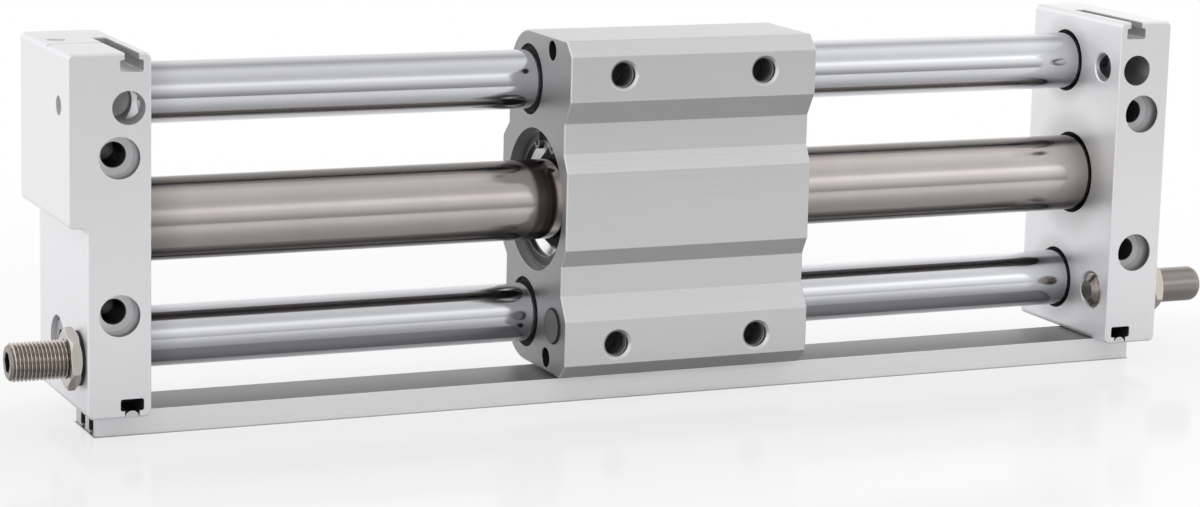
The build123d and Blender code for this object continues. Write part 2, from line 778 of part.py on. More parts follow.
def seal_holder(x_face, inward):
    """Ring between a retaining ring and the magnets, with a cone that leads to the tube scraper."""
    a = x_face + inward * (retainer_recess + retainer_thick)
    b = a + inward * holder_length
    ring = x_ring(centre_bore_dia / 2, holder_hole_dia / 2, a, b)
    cone = [
        (a, 0),
        (a, holder_mouth_dia / 2),
        (a + inward * holder_cone_depth, holder_hole_dia / 2),
        (a + inward * holder_cone_depth, 0),
    ]
    return ring - turned(cone)


keep("scraper_holders", *[seal_holder(x, inward) for x, inward in slide_ends.values()])

holder_start = retainer_recess + retainer_thick
tube_scrapers = []
tube_wear_rings = []
for x_face, inward in slide_ends.values():
    a = x_face + inward * (holder_start + tube_scraper_start)
    b = a + inward * tube_scraper_length
    c = x_face + inward * (holder_start + holder_length)
    tube_scrapers.append(x_ring(holder_hole_dia / 2, tube_dia / 2 + seal_fit, a, b))
    tube_wear_rings.append(x_ring(holder_hole_dia / 2, tube_dia / 2 + seal_fit, b, c))
keep("tube_scrapers", *tube_scrapers)
keep("tube_wear_rings", *tube_wear_rings)

# Rings of the magnetic coupling: yokes and magnets take turns along the sleeve
stack_low = slide_low_x + holder_start + holder_length
stack_high = slide_high_x - holder_start - holder_length
magnet_count = yoke_count - 1
magnet_thick = (stack_high - stack_low - yoke_count * yoke_thick) / magnet_count
yoke_starts = [stack_low + i * (yoke_thick + magnet_thick) for i in range(yoke_count)]
sleeve_inner = centre_bore_dia / 2 - magnet_sleeve_wall
outer_bore = tube_dia / 2 + outer_magnet_gap
keep("magnet_sleeve", x_ring(centre_bore_dia / 2, sleeve_inner, stack_low, stack_high))
keep("outer_yokes", *[x_ring(sleeve_inner, outer_bore, x, x + yoke_thick) for x in yoke_starts])
magnet_spans = [(x + yoke_thick, x + yoke_thick + magnet_thick) for x in yoke_starts[:magnet_count]]
keep("outer_magnets", *[x_ring(sleeve_inner, outer_bore, a, b) for a, b in magnet_spans])
keep(
    "switch_magnet",
    x_rod(
        switch_magnet_dia / 2,
        slide_offset - switch_magnet_length / 2,
        slide_offset + switch_magnet_length / 2,
        side_hole_y,
        axis_z - side_hole_z - (side_hole_dia - switch_magnet_dia) / 2,
    ),
)

# Piston: the same stack inside the tube, held between two pistons on a shaft
inner_outer = bore_dia / 2 - inner_magnet_gap
keep("inner_yokes", *[x_ring(inner_outer, shaft_dia / 2, x, x + yoke_thick) for x in yoke_starts])
keep("inner_magnets", *[x_ring(inner_outer, shaft_dia / 2, a, b) for a, b in magnet_spans])
piston_ends = {"left": (stack_low, -1), "right": (stack_high, 1)}
piston_radius = bore_dia / 2 - piston_gap
shaft_reach = piston_length - piston_shaft_recess
keep("piston_shaft", x_rod(shaft_dia / 2, stack_low - shaft_reach, stack_high + shaft_reach))
piston_seals = []
piston_bands = []
piston_nuts = []
piston_bumpers = []
for name, (x_face, outward) in piston_ends.items():
    body_end = x_face + outward * piston_length
    body = x_ring(piston_radius, shaft_dia / 2, x_face, body_end)
    pocket = body_end - outward * nut_length
    body -= x_rod(nut_flats / math.sqrt(3) + nut_pocket_gap, pocket, body_end)
    seal_start = x_face + outward * piston_seal_start
    band_start = x_face + outward * piston_band_start
    seal = (seal_start, seal_start + outward * piston_seal_width)
    band = (band_start, band_start + outward * piston_band_width)
    body -= x_ring(piston_radius, piston_radius - piston_seal_depth, *seal)
    body -= x_ring(piston_radius, piston_radius - piston_band_depth, *band)
    keep(f"piston_{name}", body)
    running = bore_dia / 2 - seal_fit
    piston_seals.append(x_ring(running, piston_radius - piston_seal_depth, *seal))
    piston_bands.append(x_ring(running, piston_radius - piston_band_depth, *band))
    nut = x_hexagon(nut_flats, pocket, body_end - outward * nut_recess, 0, axis_z)
    piston_nuts.append(nut - x_rod(shaft_dia / 2, pocket, body_end))
    rim = body_end + outward * piston_bumper_length
    bumper_radius = piston_radius - piston_bumper_inset
    piston_bumpers.append(x_ring(bumper_radius, bumper_radius - piston_bumper_wall, body_end, rim))
keep("piston_seals", *piston_seals)
keep("piston_wear_rings", *piston_bands)
keep("piston_nuts", *piston_nuts)
keep("piston_bumpers", *piston_bumpers)

for name, shape in nodes.items():
    export_step(shape, f"parts/{name}.step")
print(len(nodes), "nodes written")
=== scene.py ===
"""Looks of a magnetically coupled rodless air cylinder with a guided slide block.

Everything is in metres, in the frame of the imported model: X along the tube, Z up, the slide block's
mounting face towards -Y, and the floor at Z = 0.
"""
import json
import logging
import math
from dataclasses import dataclass
from enum import Enum

import bpy
import numpy as np
from mathutils import Matrix, Vector


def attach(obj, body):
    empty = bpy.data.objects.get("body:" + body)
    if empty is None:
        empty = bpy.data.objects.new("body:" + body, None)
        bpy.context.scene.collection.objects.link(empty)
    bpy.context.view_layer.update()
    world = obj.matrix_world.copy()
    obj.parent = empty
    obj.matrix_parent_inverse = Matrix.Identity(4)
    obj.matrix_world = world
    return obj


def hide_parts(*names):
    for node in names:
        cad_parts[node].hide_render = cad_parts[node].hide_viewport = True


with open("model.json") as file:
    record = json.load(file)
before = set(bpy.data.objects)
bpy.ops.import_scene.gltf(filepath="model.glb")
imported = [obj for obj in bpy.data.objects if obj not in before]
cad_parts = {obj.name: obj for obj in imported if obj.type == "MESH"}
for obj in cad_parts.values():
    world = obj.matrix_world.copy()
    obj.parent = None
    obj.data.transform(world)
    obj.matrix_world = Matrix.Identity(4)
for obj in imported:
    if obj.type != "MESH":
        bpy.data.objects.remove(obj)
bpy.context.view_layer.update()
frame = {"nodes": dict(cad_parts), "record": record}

LOG = logging.getLogger("rodless_cylinder")
MM = 0.001
FULL_TURN = 2 * math.pi

WHITE = (1.0, 1.0, 1.0, 1.0)

# Places that several pieces share
TUBE_Z = 52.75 * MM
BOLT_Y = -14.5 * MM
BOLT_Z = 20.75 * MM
GUIDE_Y = 5.5 * MM
GUIDE_UP = 32.0 * MM
BASE_HOLE_X = 149.2 * MM
BASE_HOLE_UP = 20.0 * MM
CLAMP_HOLE_X = 146.8 * MM
CLAMP_HOLE_UP = 32.5 * MM
SLOT_X = 146.0 * MM
SLOT_HALF = 3.1 * MM
SLIDE_X = 8.5 * MM
LOAD_HOLE_X = 20.7 * MM
LOAD_HOLE_UP = 36.25 * MM

Triple = tuple[float, float, float]
Colour = Triple
Pair = tuple[float, float]
Socket = bpy.types.NodeSocket
Node = bpy.types.Node


# Shader maths

# How far a normal turns over an edge that counts in full: one less the cosine
EDGE_TURN = 0.16


class Signal:
    """A number on its way through a material; maths on it adds Math nodes."""

    def __init__(self, tree: "ShaderTree", socket: Socket) -> None:
        """Wraps one output socket.

        Args:
            tree: the tree that the socket belongs to.
            socket: the output that carries the number.
        """
        self.tree = tree
        self.socket = socket

    def __add__(self, other: "Signal | float") -> "Signal":
        """Sum."""
        return self.tree.maths("ADD", self, other)

    def __radd__(self, other: float) -> "Signal":
        """Sum with a number on the left."""
        return self.tree.maths("ADD", other, self)

    def __sub__(self, other: "Signal | float") -> "Signal":
        """Difference."""
        return self.tree.maths("SUBTRACT", self, other)

    def __rsub__(self, other: float) -> "Signal":
        """Difference from a number."""
        return self.tree.maths("SUBTRACT", other, self)

    def __mul__(self, other: "Signal | float") -> "Signal":
        """Product."""
        return self.tree.maths("MULTIPLY", self, other)

    def __rmul__(self, other: float) -> "Signal":
        """Product with a number on the left."""
        return self.tree.maths("MULTIPLY", other, self)

    def __truediv__(self, other: "Signal | float") -> "Signal":
        """Quotient."""
        return self.tree.maths("DIVIDE", self, other)

    def __rtruediv__(self, other: float) -> "Signal":
        """Quotient of a number and this."""
        return self.tree.maths("DIVIDE", other, self)

    def __pow__(self, other: "Signal | float") -> "Signal":
        """Power."""
        return self.tree.maths("POWER", self, other)

    def __neg__(self) -> "Signal":
        """The number with its sign changed."""
        return self.tree.maths("MULTIPLY", self, -1.0)

    def __abs__(self) -> "Signal":
        """Size without the sign."""
        return self.tree.maths("ABSOLUTE", self)

    def smooth(self, low: float, high: float) -> "Signal":
        """Smooth step.

        Args:
            low: where the step begins, at 0.
            high: where it ends, at 1.

        Returns:
            The step's height.
        """
        values = {"Value": self, "From Min": low, "From Max": high}
        node = self.tree.add("ShaderNodeMapRange", {"interpolation_type": "SMOOTHSTEP"}, values)
        return Signal(self.tree, node.outputs["Result"])

    def between(self, low: float, high: float) -> "Signal":
        """Straight ramp from 0 at low to 1 at high, kept between the two."""
        values = {"Value": self, "From Min": low, "From Max": high}
        node = self.tree.add("ShaderNodeMapRange", {"clamp": True}, values)
        return Signal(self.tree, node.outputs["Result"])


def length(first: Signal, second: Signal) -> Signal:
    """Length of a vector with two parts."""
    return (first * first + second * second) ** 0.5


@dataclass
class ShaderTree:
    """The nodes of one material or of the world."""

    tree: bpy.types.NodeTree

    @classmethod
    def start(cls, owner: bpy.types.Material | bpy.types.World) -> "ShaderTree":
        """An empty tree in a new material or world."""
        owner.use_nodes = True
        owner.node_tree.nodes.clear()
        return cls(owner.node_tree)

    def add(
        self,
        kind: str,
        settings: dict[str, object] | None = None,
        values: dict[str | int, object] | None = None,
    ) -> Node:
        """Adds any node.

        Args:
            kind: the node's type.
            settings: its own properties, set first. "stops" are a colour ramp's stops.
            values: what each input holds: a number, a colour, an output socket or a Signal.

        Returns:
            The new node.
        """
        node = self.tree.nodes.new(kind)
        for name, value in (settings or {}).items():
            if name == "stops":
                self.set_stops(node, value)
            else:
                setattr(node, name, value)
        for name, value in (values or {}).items():
            socket = node.inputs[name]
            if isinstance(value, Signal):
                value = value.socket
            if isinstance(value, Socket):
                self.tree.links.new(value, socket)
            else:
                socket.default_value = value
        return node

    @staticmethod
    def set_stops(node: Node, stops: list[tuple[float, tuple]]) -> None:
        """Sets a colour ramp's stops.

        Args:
            node: the ramp.
            stops: place and colour of each, in order.
        """
        marks = node.color_ramp.elements
        while len(marks) < len(stops):
            marks.new(1.0)
        for mark, (place, colour) in zip(marks, stops):
            mark.position = place
            mark.color = (*colour, 1.0)

    def signal(self, kind: str, output: str, values: dict | None = None, **settings: object) -> Signal:
        """Adds a node and wraps one of its outputs."""
        return Signal(self, self.add(kind, settings, values).outputs[output])

    def maths(self, operation: str, *values: Signal | float) -> Signal:
        """Adds one Math node.

        Args:
            operation: the Math node's operation.
            values: its inputs, in order.

        Returns:
            The node's result.
        """
        node = self.add("ShaderNodeMath", {"operation": operation}, dict(enumerate(values)))
        return Signal(self, node.outputs[0])

    def split(self, source: Socket) -> tuple[Signal, ...]:
        """The three parts of a vector."""
        parts = self.add("ShaderNodeSeparateXYZ", values={0: source})
        return tuple(Signal(self, parts.outputs[k]) for k in range(3))

    def place(self, output: str = "Object") -> tuple[Signal, ...]:
        """The three coordinates of the point that is shaded."""
        return self.split(self.add("ShaderNodeTexCoord").outputs[output])

    def normal(self) -> tuple[Signal, ...]:
        """The three parts of the surface's own normal."""
        return self.split(self.add("ShaderNodeNewGeometry").outputs["True Normal"])

    def noise(self, per_metre: Triple, detail: float = 2.0, roughness: float = 0.5) -> Signal:
        """Noise in Object coordinates.

        Args:
            per_metre: how many waves there are in a metre along X, Y and Z.
            detail: how many finer layers it has.
            roughness: how strong those are.

        Returns:
            The noise, from 0 to 1.
        """
        source = self.add("ShaderNodeTexCoord").outputs["Object"]
        mapped = self.add("ShaderNodeMapping", values={"Vector": source, "Scale": per_metre})
        values = {"Vector": mapped.outputs[0], "Scale": 1.0, "Detail": detail, "Roughness": roughness}
        return Signal(self, self.add("ShaderNodeTexNoise", values=values).outputs[0])

    def edge(self, radius: float) -> tuple[Signal, Socket]:
        """Where the surface turns a corner, and a normal that is rounded there.

        Args:
            radius: how far from a corner the surface counts as its edge, in metres.

        Returns:
            A mask that is 1 at the corner, and the rounded normal.
        """
        bevel = self.add("ShaderNodeBevel", {"samples": 4}, {"Radius": radius})
        own = self.add("ShaderNodeNewGeometry").outputs["Normal"]
        pair = {0: bevel.outputs[0], 1: own}
        same = self.signal("ShaderNodeVectorMath", "Value", pair, operation="DOT_PRODUCT")
        return (1.0 - same).between(0.0, EDGE_TURN), bevel.outputs[0]

    def blend(self, share: Signal | float, first: Colour | Socket, second: Colour | Socket) -> Socket:
        """Mixes two colours.

        Args:
            share: 0 for the first, 1 for the second.
            first: a colour, or the socket that gives one.
            second: another.

        Returns:
            The mixed colour.
        """
        values: dict[str | int, object] = {0: share}
        for place, value in ((6, first), (7, second)):
            values[place] = value if isinstance(value, Socket) else (*value, 1.0)
        return self.add("ShaderNodeMix", {"data_type": "RGBA"}, values).outputs[2]

    def bump(self, height: Signal, depth: float, normal: Socket | None = None) -> Socket:
        """Turns a height into a normal.

        Args:
            height: the height, from 0 to 1.
            depth: how deep that is, in metres.
            normal: the normal that it adds to.

        Returns:
            The bumped normal.
        """
        values = {"Height": height, "Distance": depth, "Strength": 1.0}
        if normal is not None:
            values["Normal"] = normal
        return self.add("ShaderNodeBump", values=values).outputs[0]


# Painted shade in holes, slots, bores and gaps

SOFT_EDGE = 0.1 * MM
# colour factor of painted shade
PAINTED_SHADE = 0.04


@dataclass(frozen=True)
class BorePaintedShade:
    """Painted shade in holes along Y: one place, with its mirror images in X and Z."""

    middle_x: float
    aside: float
    above: float
    radius: float
    front_y: float
    reach: float
    mouth: float
    deep: float
    inner: float = 0.0

    def mask(self, tree: ShaderTree) -> Signal:
        """How much light the surface loses.

        The distance from the hole's axis keeps the mask between two radii, and a ramp along Y goes
        from its strength at the mouth to its strength at depth. Nothing ends it towards +Y, so it
        also shades the part's back where no hole comes through.

        Args:
            tree: the material's nodes.

        Returns:
            The lost share.
        """
        x, y, z = tree.place()
        off = length(abs(x - self.middle_x) - self.aside, abs(z - TUBE_Z) - self.above)
        rim = self.radius + SOFT_EDGE / 2
        inside = 1.0 - off.between(rim, rim + SOFT_EDGE)
        if self.inner:
            inside = inside * off.between(self.inner - SOFT_EDGE, self.inner)
        depth = y.smooth(self.front_y, self.front_y + self.reach)
        behind = y.between(self.front_y - SOFT_EDGE / 2, self.front_y + SOFT_EDGE / 2)
        return inside * behind * (depth * (self.deep - self.mouth) + self.mouth)


@dataclass(frozen=True)
class SlotPaintedShade:
    """Painted shade in slots between two heights, within a distance of a line along Y and its mirror in
    X.

    Where along_x is set, the line runs along X instead, and there is one slot.
    """

    middle: float
    half_width: float
    low: float
    high: float
    along_x: bool = False
    strength: float = 0.93
    front_y: float = -23.1 * MM
    front_fade: float = 0.5 * MM

    def mask(self, tree: ShaderTree) -> Signal:
        """How much light the surface loses; none on the face that the slot opens in.

        Nothing ends it towards +Y, so it also shades the back of a plate.

        Args:
            tree: the material's nodes.

        Returns:
            The lost share.
        """
        x, y, z = tree.place()
        across = abs(y - self.middle) if self.along_x else abs(abs(x) - self.middle)
        inside = 1.0 - across.between(self.half_width, self.half_width + SOFT_EDGE)
        over = z.between(self.low - SOFT_EDGE, self.low)
        under = 1.0 - z.between(self.high, self.high + SOFT_EDGE)
        behind = y.between(self.front_y, self.front_y + self.front_fade)
        return inside * over * under * behind * self.strength


@dataclass(frozen=True)
class RingPaintedShade:
    """Painted shade round axes along X, above and below the tube: in a hole, in a gap, or soft on a
    face.
    """

    outer: float
    strength: float
    inner: float = 0.0
    aside: float = 0.0
    above: float = 0.0
    fade: float = SOFT_EDGE
    middle_x: float = SLIDE_X
    half_x: float = 40.0 * MM

    def mask(self, tree: ShaderTree) -> Signal:
        """How much light the surface loses between two distances from the axis.

        Args:
            tree: the material's nodes.

        Returns:
            The lost share.
        """
        x, y, z = tree.place()
        off = length(y - self.aside, abs(z - TUBE_Z) - self.above)
        ring = 1.0 - off.smooth(self.outer, self.outer + self.fade)
        if self.inner:
            ring = ring * off.between(self.inner - SOFT_EDGE, self.inner)
        along = 1.0 - abs(x - self.middle_x).between(self.half_x - SOFT_EDGE, self.half_x)
        return ring * along * self.strength


# Finishes

Inputs = dict[str, Signal | Socket]


@dataclass(frozen=True)
class Finish:
    """A surface finish that a node or a piece wears. The plain one is smooth plated or blackened metal.
    """

    slot: str
    colour: Colour
    metallic: float = 1.0
    roughness: float = 0.3
    grain: float = 900.0
    grain_depth: float = 4e-6
    mottle: float = 0.05
    edge_radius: float = 0.25e-3
    # share of the lighter edge colour: partly wear, partly a painted highlight
    edge_wear_and_highlight: float = 0.25
    specular: float = 0.5
    cloud: float = 140.0
    # colour factor of the edges, for wear and a painted highlight
    edge_wear_and_highlight_shade: float = 1.6
    unevenness: float = 0.12
    edge_polish: float = 0.05
    # painted shade in holes, slots, bores and gaps
    painted_shades: tuple[BorePaintedShade | SlotPaintedShade | RingPaintedShade, ...] = ()

    def material(self) -> bpy.types.Material:
        """Builds the finish as a material, once.

        Returns:
            The material.
        """
        name = f"{self.slot}_finish"
        if name in bpy.data.materials:
            return bpy.data.materials[name]
        material = bpy.data.materials.new(name)
        tree = ShaderTree.start(material)
        plain = {"Metallic": self.metallic, "Specular IOR Level": self.specular}
        shader = tree.add("ShaderNodeBsdfPrincipled", values={**plain, **self.dress(tree)})
        tree.add("ShaderNodeOutputMaterial", values={"Surface": shader.outputs[0]})
        return material

    def shade(self, factor: float) -> Colour:
        """The finish's colour, darker or lighter by a factor."""
        return tuple(min(1.0, part * factor) for part in self.colour)

    def shadowed(self, tree: ShaderTree, colour: Socket) -> Socket:
        """Paints shade into a colour in the finish's holes, slots, bores and gaps.

        Args:
            tree: the material's nodes.
            colour: the colour outside them.

        Returns:
            The colour with its painted shade.
        """
        for recess in self.painted_shades:
            colour = tree.blend(recess.mask(tree), colour, self.shade(PAINTED_SHADE))
        return colour

    def mottled(self, tree: ShaderTree, share: Signal) -> Socket:
        """The finish's colour, from its darkest where the share is 0 to its lightest at 1."""
        return tree.blend(share, self.shade(1 - self.mottle), self.shade(1 + self.mottle))

    def edge_wear_highlight_and_shade(self, tree: ShaderTree, edge: Signal, colour: Socket) -> Socket:
        """Lightens the edges, as wear and a painted highlight, and paints shade into holes and slots.

        Args:
            tree: the material's nodes.
            edge: where the edges are.
            colour: the colour of the faces.

        Returns:
            The colour of the whole surface.
        """
        # edges lighter: partly wear, partly a painted highlight
        lit = tree.blend(edge * self.edge_wear_and_highlight, colour, self.shade(self.edge_wear_and_highlight_shade))
        return self.shadowed(tree, lit)

    def dress(self, tree: ShaderTree) -> Inputs:
        """Faintly mottled colour, edges lighter from wear and a painted highlight, painted shade and a
        fine grain.

        Args:
            tree: the material's nodes.

        Returns:
            What the shader's inputs take.
        """
        edge, normal = tree.edge(self.edge_radius)
        cloud = tree.noise((self.cloud,) * 3, 3.0)
        grain = tree.noise((self.grain,) * 3, 2.0)
        colour = self.edge_wear_highlight_and_shade(tree, edge, self.mottled(tree, cloud))
        roughness = self.roughness + (cloud - 0.5) * self.unevenness - edge * self.edge_polish
        bumped = tree.bump(grain, self.grain_depth, normal)
        return {"Base Color": colour, "Roughness": roughness, "Normal": bumped}


@dataclass(frozen=True)
class BlastedAluminium(Finish):
    """Bead-blasted and anodised: an even fine grain, and corners lighter from wear and a painted
    highlight.
    """

    cloud: float = 45.0
    edge_wear_and_highlight_shade: float = 1.2
    unevenness: float = 0.16
    edge_polish: float = 0.08
    speckle: float = 0.8084
    speckle_share: float = 0.10
    speckle_zone: Pair = (0.35, 0.65)

    def dress(self, tree: ShaderTree) -> Inputs:
        """Fine grain and soft clouds; the corners are lighter from wear and a painted highlight.

        Args:
            tree: the material's nodes.

        Returns:
            What the shader's inputs take.
        """
        edge, normal = tree.edge(self.edge_radius)
        cloud = tree.noise((self.cloud,) * 3, 4.0, 0.55)
        grain = tree.noise((self.grain,) * 3, 3.0, 0.6)
        base = self.mottled(tree, cloud)
        specks = grain.between(*self.speckle_zone) * self.speckle_share
        colour = self.edge_wear_highlight_and_shade(tree, edge, tree.blend(specks, base, self.shade(self.speckle)))
        roughness = self.roughness + (grain - 0.5) * self.unevenness - edge * self.edge_polish
        bumped = tree.bump(grain, self.grain_depth, normal)
        return {"Base Color": colour, "Roughness": roughness, "Normal": bumped}


@dataclass(frozen=True)
class ExtrudedAluminium(Finish):
    """Anodised extrusion: faint die lines along X, darker end faces, and painted shade on faces up or
    down.
    """

    cloud: float = 60.0
    edge_wear_and_highlight_shade: float = 1.15
    end_shade: float = 0.45
    # painted shade on faces that point up
    top_painted_shade: float = 1.0
    # painted shade on faces that point down
    downward_painted_shade: float = 1.0
    die_lines: Triple = (3.0, 1700.0, 1700.0)
    streaks: Triple = (9.0, 160.0, 160.0)
    line_zone: Pair = (0.42, 0.7)
    line_share: float = 0.14
    line_shade: float = 0.8
    line_bump: float = 0.55
    grain_unevenness: float = 0.08
    square_on: Pair = (0.85, 0.97)
    downward: Pair = (0.3, 0.6)

    def dress(self, tree: ShaderTree) -> Inputs:
        """Die lines along X on the sides, milled ends that are darker, and painted shade on faces up or
        down.

        Args:
            tree: the material's nodes.

        Returns:
            What the shader's inputs take.
        """
        edge, normal = tree.edge(self.edge_radius)
        lines = tree.noise(self.die_lines, 2.0, 0.7)
        streaks = tree.noise(self.streaks, 2.0)
        grain = tree.noise((self.grain,) * 3, 2.0, 0.6)
        cloud = tree.noise((self.cloud,) * 3, 3.0)
        along_x, _, upward = tree.normal()
        end = abs(along_x).smooth(*self.square_on)
        top = upward.smooth(*self.square_on)
        sides = self.mottled(tree, streaks * 0.5 + cloud * 0.5)
        drawn = lines.between(*self.line_zone) * self.line_share
        faced = tree.blend(drawn, sides, self.shade(self.line_shade))
        faced = tree.blend(end, faced, self.shade(self.end_shade))
        # painted shade on faces that point up, then on faces that point down
        faced = tree.blend(top, faced, self.shade(self.top_painted_shade))
        faced = tree.blend((-upward).smooth(*self.downward), faced, self.shade(self.downward_painted_shade))
        colour = self.edge_wear_highlight_and_shade(tree, edge, faced)
        uneven = (lines - 0.5) * self.unevenness + (grain - 0.5) * self.grain_unevenness
        roughness = self.roughness + uneven - edge * self.edge_polish
        relief = lines * self.line_bump * (1.0 - end) + grain * (1.0 - self.line_bump)
        bumped = tree.bump(relief, self.grain_depth, normal)
        return {"Base Color": colour, "Roughness": roughness, "Normal": bumped}


@dataclass(frozen=True)
class RoundBarFinish(Finish):
    """Ground or drawn round bar: fine rings round X, and soft smears along it."""

    rings: Triple = (2600.0, 25.0, 25.0)
    bands: Triple = (60.0, 12.0, 12.0)
    smears: Triple = (14.0, 120.0, 120.0)
    smear: float = 0.06
    warm: Colour = (0.7, 0.66, 0.62)
    warm_share: float = 0.0
    warm_zone: Pair = (0.35, 0.75)
    # painted shade on the bar's top and underside
    crown_painted_shade: float = 0.0
    crown_zone: Pair = (0.80, 0.93)
    foot_painted_shade: float = 0.0
    foot_zone: Pair = (0.60, 0.76)
    radius: float = 10.8 * MM
    # painted shade towards both ends of the bar, next to the end plates
    end_x: float = 141.0 * MM
    end_reach: float = 16.0 * MM
    end_painted_shade_share: float = 0.45
    end_shade: float = 0.1

    def dress(self, tree: ShaderTree) -> Inputs:
        """Rings round the bar from its grinding, with long soft smears and painted shade towards the
        ends.

        Where set, painted shade also darkens the bar towards its top and its underside.

        Args:
            tree: the material's nodes.

        Returns:
            What the shader's inputs take.
        """
        rings = tree.noise(self.rings, 2.0, 0.6)
        bands = tree.noise(self.bands, 3.0, 0.6)
        smears = tree.noise(self.smears, 3.0, 0.6)
        base = self.mottled(tree, smears)
        colour = tree.blend(bands.between(*self.warm_zone) * self.warm_share, base, self.warm)
        x, _, z = tree.place()
        # painted shade towards the ends
        ends = abs(x).smooth(self.end_x - self.end_reach, self.end_x) * self.end_painted_shade_share
        colour = tree.blend(ends, colour, self.shade(self.end_shade))
        # painted shade on the top and the underside
        if self.crown_painted_shade:
            height = (z - TUBE_Z) / self.radius
            over = height.smooth(*self.crown_zone) * self.crown_painted_shade
            lost = over + (-height).smooth(*self.foot_zone) * self.foot_painted_shade
            colour = tree.blend(lost, colour, self.shade(PAINTED_SHADE))
        roughness = self.roughness + (bands - 0.5) * self.smear + (rings - 0.5) * self.smear
        return {"Base Color": colour, "Roughness": roughness}


@dataclass(frozen=True)
class TurnedMetal(Finish):
    """Turned on a lathe: fine rings about the tube's axis, seen on faces square to it."""

    cloud: float = 200.0
    edge_wear_and_highlight_shade: float = 1.4
    unevenness: float = 0.1
    ring: float = 2200.0

    def dress(self, tree: ShaderTree) -> Inputs:
        """Rings whose height depends on the distance from the axis and on X.

        Args:
            tree: the material's nodes.

        Returns:
            What the shader's inputs take.
        """
        edge, normal = tree.edge(self.edge_radius)
        x, y, z = tree.place()
        out = length(y, z - TUBE_Z)
        wave = tree.maths("SINE", (out + x) * (FULL_TURN * self.ring))
        cloud = tree.noise((self.cloud,) * 3, 3.0)
        colour = self.edge_wear_highlight_and_shade(tree, edge, self.mottled(tree, cloud))
        roughness = self.roughness + (cloud - 0.5) * self.unevenness
        bumped = tree.bump(wave * 0.5 + cloud, self.grain_depth, normal)
        return {"Base Color": colour, "Roughness": roughness, "Normal": bumped}


@dataclass(frozen=True)
class ThreadedSteel(Finish):
    """Plated thread: a painted highlight on the crests, painted shade in the roots, and stains."""

    root_radius: float = 4.4 * MM
    crest_radius: float = 5.0 * MM
    plain_x: float = 160.9 * MM
    plain_fade: float = 0.2 * MM
    unevenness: float = 0.1
    stains: Triple = (260.0, 900.0, 900.0)
    stain_zone: Pair = (0.45, 0.75)
    stain_share: float = 0.3
    stain_shade: float = 0.75
    # painted shade in the roots and painted highlight on the crests
    root_painted_shade: float = 0.45
    crest_painted_highlight: float = 1.15
    plain_shade: float = 0.5

    def dress(self, tree: ShaderTree) -> Inputs:
        """Colour by distance from the bolt's axis, as painted shade and highlight, and darker on the
        plain end.

        Args:
            tree: the material's nodes.

        Returns:
            What the shader's inputs take.
        """
        x, y, z = tree.place()
        crest = length(y - BOLT_Y, z - BOLT_Z).between(self.root_radius, self.crest_radius)
        plain = x.between(self.plain_x, self.plain_x + self.plain_fade)
        stains = tree.noise(self.stains, 3.0)
        grain = tree.noise((self.grain,) * 3, 2.0)
        # painted shade in the roots, painted highlight on the crests
        base = tree.blend(crest, self.shade(self.root_painted_shade), self.shade(self.crest_painted_highlight))
        stained = stains.between(*self.stain_zone) * self.stain_share
        dulled = tree.blend(stained, base, self.shade(self.stain_shade))
        colour = tree.blend(plain, dulled, self.shade(self.plain_shade))
        roughness = self.roughness + (stains - 0.5) * self.unevenness
        bumped = tree.bump(grain, self.grain_depth)
        return {"Base Color": colour, "Roughness": roughness, "Normal": bumped}


BASE_HOLE = {"middle_x": 0.0, "aside": BASE_HOLE_X, "above": BASE_HOLE_UP}
CLAMP_HOLE = {"aside": 0.0, "above": CLAMP_HOLE_UP, "radius": 4.3 * MM, "front_y": -23.0 * MM}
INNER_FACES = {"middle_x": 0.0, "half_x": 141.4 * MM}
# Painted shade in the base holes and their counterbores, the clamp holes and the T-slots, and soft
# painted shade round the tube's and shafts' bores on the inner faces
PLATE_PAINTED_SHADES = (
    BorePaintedShade(**BASE_HOLE, radius=3.3 * MM, front_y=-17.3 * MM, reach=1.2 * MM, mouth=0.7, deep=0.96),
    BorePaintedShade(
        **BASE_HOLE, radius=5.35 * MM, inner=5.25 * MM, front_y=-22.9 * MM, reach=4.0 * MM,
        mouth=0.85, deep=0.3,
    ),
    BorePaintedShade(**CLAMP_HOLE, middle_x=-CLAMP_HOLE_X, reach=12.0 * MM, mouth=0.1, deep=0.35),
    BorePaintedShade(**CLAMP_HOLE, middle_x=CLAMP_HOLE_X, reach=8.0 * MM, mouth=0.6, deep=0.8),
    SlotPaintedShade(SLOT_X, SLOT_HALF, low=6.5 * MM, high=11.4 * MM),
    SlotPaintedShade(SLOT_X, SLOT_HALF, low=94.3 * MM, high=98.6 * MM, strength=0.4),
    RingPaintedShade(11.5 * MM, 0.26, fade=10.0 * MM, **INNER_FACES),
    RingPaintedShade(8.8 * MM, 0.2, aside=GUIDE_Y, above=GUIDE_UP, fade=6.0 * MM, **INNER_FACES),
)
# Painted shade in the slide block's load holes, in its two holes along X, and in its bore round the tube
SLIDE_PAINTED_SHADES = (
    BorePaintedShade(
        SLIDE_X, aside=LOAD_HOLE_X, above=LOAD_HOLE_UP, radius=3.4 * MM, front_y=-22.4 * MM,
        reach=4.0 * MM, mouth=0.3, deep=0.85,
    ),
    RingPaintedShade(2.8 * MM, 0.93, aside=-10.0 * MM, above=41.6 * MM, half_x=35.8 * MM),
    RingPaintedShade(19.3 * MM, 0.75, half_x=35.8 * MM),
)
